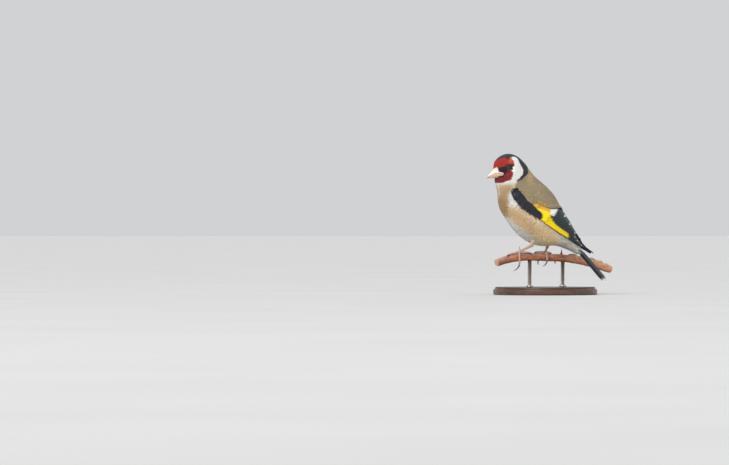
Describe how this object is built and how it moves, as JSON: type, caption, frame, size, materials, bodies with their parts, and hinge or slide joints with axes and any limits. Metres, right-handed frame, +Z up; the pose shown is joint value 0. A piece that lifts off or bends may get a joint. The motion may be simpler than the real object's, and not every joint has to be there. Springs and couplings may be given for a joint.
{
  "type": "european goldfinch",
  "caption": "Life-size still model of a perched songbird with a red face, gripping a cut length of thorny branch on a plain round display stand.",
  "frame": {"origin": "centre of the underside of the stand's round base", "axes": "+Z up; the bird looks towards -X, a little turned to the viewer, and shows its left side to -Y"},
  "size_m": [0.099, 0.08, 0.1083],
  "materials": {
    "head_plumage": "soft matte short feathers",
    "body_plumage": "soft matte feathers",
    "flight_feathers": "smooth satin feather vanes",
    "tail_feathers": "smooth satin feather vanes",
    "bill": "smooth horn, slight gloss",
    "eye": "wet gloss, opaque dark brown",
    "leg_skin": "dry scaled skin",
    "claw": "horn, satin",
    "bark": "rough bark with a grey bloom",
    "stand_wood": "dark satin lacquer",
    "stand_metal": "brushed"
  },
  "bodies": {
    "root": {"head": "head_plumage", "neck": "body_plumage", "torso": "body_plumage", "bill_upper": "bill", "bill_lower": "bill", "eye_left": "eye", "eye_right": "eye", "wing_left": "flight_feathers", "wing_right": "flight_feathers", "tail": "tail_feathers", "thigh_left": "body_plumage", "thigh_right": "body_plumage", "tarsus_left": "leg_skin", "tarsus_right": "leg_skin", "foot_left": "leg_skin", "foot_right": "leg_skin", "claw_left_1": "claw", "claw_left_2": "claw", "claw_left_3": "claw", "claw_left_4": "claw", "claw_right_1": "claw", "claw_right_2": "claw", "claw_right_3": "claw", "claw_right_4": "claw", "perch": "bark", "stand_base": "stand_wood", "stand_rod_1": "stand_metal", "stand_rod_2": "stand_metal"}
  },
  "joints": []
}
